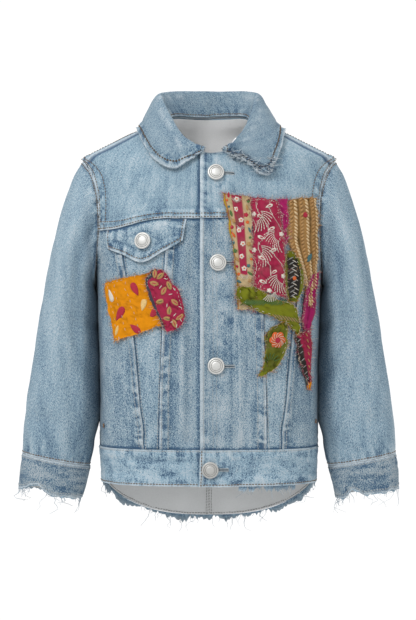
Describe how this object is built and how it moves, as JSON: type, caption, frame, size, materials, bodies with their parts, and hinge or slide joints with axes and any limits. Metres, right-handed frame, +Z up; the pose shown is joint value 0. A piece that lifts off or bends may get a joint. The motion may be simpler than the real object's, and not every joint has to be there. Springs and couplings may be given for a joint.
{
  "type": "denim jacket",
  "caption": "Child's light-wash denim jacket, buttoned, with chest yoke, one flap pocket, turned-down collar, sewn-on rag patches and frayed hems, filled out and hollow.",
  "frame": {"origin": "on the middle plane at the height of the neck ends of the shoulder seams, where it rests on the wearer", "axes": "+Z up along the wearer's spine, the front faces -Y, +X towards the wearer's left arm"},
  "size_m": [0.3988, 0.1782, 0.4698],
  "materials": {
    "denim_light": "woven cotton, washed",
    "denim_yoke": "woven cotton, washed",
    "denim_mid": "woven cotton, washed",
    "denim_fray": "woven cotton, washed",
    "rag_orange": "woven cotton, washed",
    "rag_leaf_print": "woven cotton, washed",
    "rag_ochre": "woven cotton, washed",
    "rag_crimson": "woven cotton, washed",
    "rag_pink": "woven cotton, washed",
    "rag_braid": "woven cotton, washed",
    "rag_dark_leaf": "woven cotton, washed",
    "rag_green": "woven cotton, washed",
    "rag_ribbon": "woven cotton, washed",
    "rag_hanging_leaf": "woven cotton, washed",
    "rag_tail": "woven cotton, washed",
    "button_metal": "pale brushed metal, domed and worn"
  },
  "bodies": {
    "root": {"front_yoke_right": "denim_yoke", "front_side_right": "denim_light", "front_tapered_right": "denim_light", "front_centre_right": "denim_light", "waistband_right": "denim_yoke", "sleeve_right": "denim_light", "cuff_right": "denim_mid", "cuff_fray_right": "denim_fray", "back_right": "denim_light", "front_yoke_left": "denim_yoke", "front_side_left": "denim_light", "front_tapered_left": "denim_light", "front_centre_left": "denim_light", "waistband_left": "denim_yoke", "sleeve_left": "denim_light", "cuff_left": "denim_mid", "cuff_fray_left": "denim_fray", "back_left": "denim_light", "back_yoke": "denim_yoke", "collar": "denim_mid", "pocket_flap": "denim_light", "back_hem_fray": "denim_fray", "waistband_fray": "denim_fray", "patch_orange": "rag_orange", "patch_leaf_print": "rag_leaf_print", "patch_strip": "rag_ochre", "patch_block_print": "rag_crimson", "patch_pink_slip": "rag_pink", "patch_braid": "rag_braid", "patch_dark_leaf": "rag_dark_leaf", "patch_green_leaf": "rag_green", "patch_pink_ribbon": "rag_ribbon", "patch_hanging_leaf": "rag_hanging_leaf", "patch_hanging_tail": "rag_tail", "front_button_1": "button_metal", "front_button_2": "button_metal", "front_button_3": "button_metal", "waist_button": "button_metal", "pocket_button": "button_metal"}
  },
  "joints": []
}
